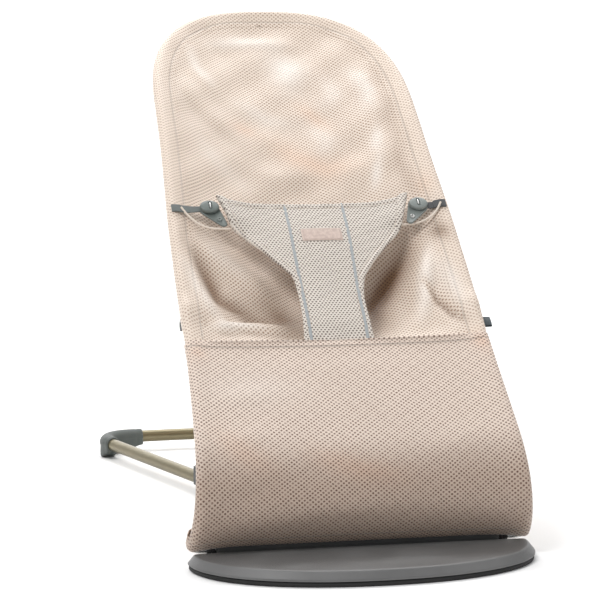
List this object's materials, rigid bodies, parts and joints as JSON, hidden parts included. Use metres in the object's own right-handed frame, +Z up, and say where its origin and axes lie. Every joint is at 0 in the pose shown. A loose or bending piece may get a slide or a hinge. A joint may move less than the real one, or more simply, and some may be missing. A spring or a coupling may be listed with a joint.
{
  "type": "baby bouncer seat",
  "caption": "Folding baby bouncer: mesh fabric seat on a sprung wire frame with a restraint flap, low half-moon base and rear notched strut.",
  "frame": {"origin": "centre of the footprint on the floor, z = 0", "axes": "-Y towards the front plate and the child's feet, +Y towards the head end and rear crossbar, +Z up, +X to the right as seen from the front"},
  "size_m": [0.3782, 0.7899, 0.561],
  "materials": {
    "grey_plastic": "fine matt",
    "black_plastic": "matt",
    "black_rubber": "matt",
    "foot_rubber": "matt green-grey",
    "bronze_paint": "semi-gloss bronze",
    "spring_steel": "satin",
    "screw_steel": "satin",
    "mesh_fabric": "pearly open mesh",
    "flap_fabric": "soft spacer mesh",
    "tag_fabric": "woven tape",
    "webbing": "ribbed webbing",
    "patch": "woven patch",
    "button": "satin grey-green"
  },
  "bodies": {
    "base": {"base_plate_top": "grey_plastic", "base_plate_underside": "black_plastic", "base_rubber_rim": "black_rubber", "base_tube": "bronze_paint", "bracket_rivet_left_front": "screw_steel", "bracket_rivet_left_rear": "screw_steel", "bracket_rivet_right_front": "screw_steel", "bracket_rivet_right_rear": "screw_steel", "hinge_bushing_left": "black_plastic", "hinge_bushing_right": "black_plastic", "hinge_housing_lower": "grey_plastic", "hinge_housing_upper": "grey_plastic", "housing_screw_left_inner": "screw_steel", "housing_screw_left_outer": "screw_steel", "housing_screw_right_inner": "screw_steel", "housing_screw_right_outer": "screw_steel", "notch_bracket_left": "grey_plastic", "notch_bracket_right": "grey_plastic", "rear_foot_left": "foot_rubber", "rear_foot_right": "foot_rubber"},
    "lower_frame": {"calf_panel_front": "mesh_fabric", "calf_panel_rear": "mesh_fabric", "pivot_block_left": "grey_plastic", "pivot_block_right": "grey_plastic", "side_tag": "tag_fabric", "side_wire_left": "spring_steel", "side_wire_right": "spring_steel"},
    "back": {"flap_patch": "patch", "keyhole_plate_left": "button", "keyhole_plate_right": "button", "loop_socket_left": "grey_plastic", "loop_socket_right": "grey_plastic", "pivot_pin_left": "screw_steel", "pivot_pin_right": "screw_steel", "plate_rivet_left": "screw_steel", "plate_rivet_right": "screw_steel", "restraint_flap": "flap_fabric", "seat_cover": "mesh_fabric", "seat_loop_tube": "bronze_paint", "strap_webbing_left": "webbing", "strap_webbing_right": "webbing"},
    "strut": {"strut_bracket": "spring_steel", "strut_sleeve_left": "black_plastic", "strut_sleeve_right": "black_plastic"},
    "button_left": {"strap_button_left": "button"},
    "button_right": {"strap_button_right": "button"}
  },
  "joints": [
    {"name": "recline", "type": "hinge", "parent": "base", "child": "lower_frame", "pos_m": [0, -0.26936, 0.01563], "axis": [1, 0, 0], "range_deg": [-42, 0]},
    {"name": "strut_swing", "type": "hinge", "parent": "lower_frame", "child": "strut", "pos_m": [0, -0.13058, 0.22789], "axis": [1, 0, 0], "range_deg": [0, 90]},
    {"name": "bounce", "type": "hinge", "parent": "lower_frame", "child": "back", "pos_m": [0, -0.14369, 0.24299], "axis": [1, 0, 0], "range_deg": [-2.5, 2.5], "stiffness_Nm_per_rad": 60, "springref_deg": 0.77},
    {"name": "button_left_slide", "type": "slide", "parent": "back", "child": "button_left", "axis": [0.5, -0.643, -0.5801], "range_m": [0, 0.007]},
    {"name": "button_right_slide", "type": "slide", "parent": "back", "child": "button_right", "axis": [-0.5, -0.643, -0.5801], "range_m": [0, 0.007]}
  ],
  "couplings": [
    {"joint": "strut_swing", "follows": "recline", "ratio": -2.0906}
  ]
}
